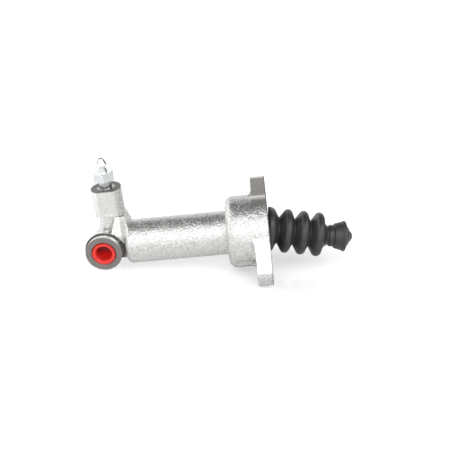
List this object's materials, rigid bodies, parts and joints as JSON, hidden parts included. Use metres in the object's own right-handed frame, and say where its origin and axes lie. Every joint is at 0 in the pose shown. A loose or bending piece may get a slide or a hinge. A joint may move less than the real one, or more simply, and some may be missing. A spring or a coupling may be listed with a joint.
{
  "type": "clutch slave cylinder",
  "caption": "Cast hydraulic clutch slave cylinder: flange with two ears, folded rubber boot over a push rod, bleed screw on an end tower, side hose port with wire clip and red plug.",
  "frame": {"origin": "centre of the flange's mounting face, on the cylinder's axis", "axes": "+X along the cylinder towards the push rod, +Z along the bleed screw, the hose port faces -Y"},
  "size_m": [0.1566, 0.061, 0.0774],
  "materials": {
    "plated_casting": "bright plated, rough as cast, dull grey where machined",
    "zinc_steel": "bright bluish zinc",
    "dark_steel": "phosphated, satin",
    "spring_steel": "satin",
    "piston_alloy": "turned",
    "boot_rubber": "semi-matt",
    "seal_rubber": "matt",
    "red_plastic": "satin"
  },
  "bodies": {
    "housing": {"cylinder_body": "plated_casting", "stop_ring": "dark_steel", "dust_boot": "boot_rubber", "piston_spring": "spring_steel", "wire_clip": "dark_steel"},
    "piston": {"piston": "piston_alloy", "primary_cup": "seal_rubber", "secondary_cup": "seal_rubber", "spring_seat": "spring_steel", "rod_retainer": "spring_steel"},
    "rod": {"push_rod": "dark_steel"},
    "bleed": {"bleed_screw": "zinc_steel"},
    "plug": {"port_plug": "red_plastic"}
  },
  "joints": [
    {"name": "piston_slide", "type": "slide", "parent": "housing", "child": "piston", "axis": [1, 0, 0], "range_m": [-0.012, 0], "stiffness_N_per_m": 500, "springref_m": 0.012, "deforming": ["piston_spring", "dust_boot"]},
    {"name": "rod_swing", "type": "hinge", "parent": "piston", "child": "rod", "pos_m": [-0.021, 0, 0], "axis": [0, 1, 0], "range_deg": [-16.6, 2], "deforming": ["dust_boot"]},
    {"name": "bleed_turn", "type": "hinge", "parent": "housing", "child": "bleed", "pos_m": [-0.091, 0, 0.03], "axis": [0, 0, 1], "range_deg": [0, 360]},
    {"name": "plug_pull", "type": "slide", "parent": "housing", "child": "plug", "axis": [0, -1, 0], "range_m": [0, 0.02]}
  ]
}
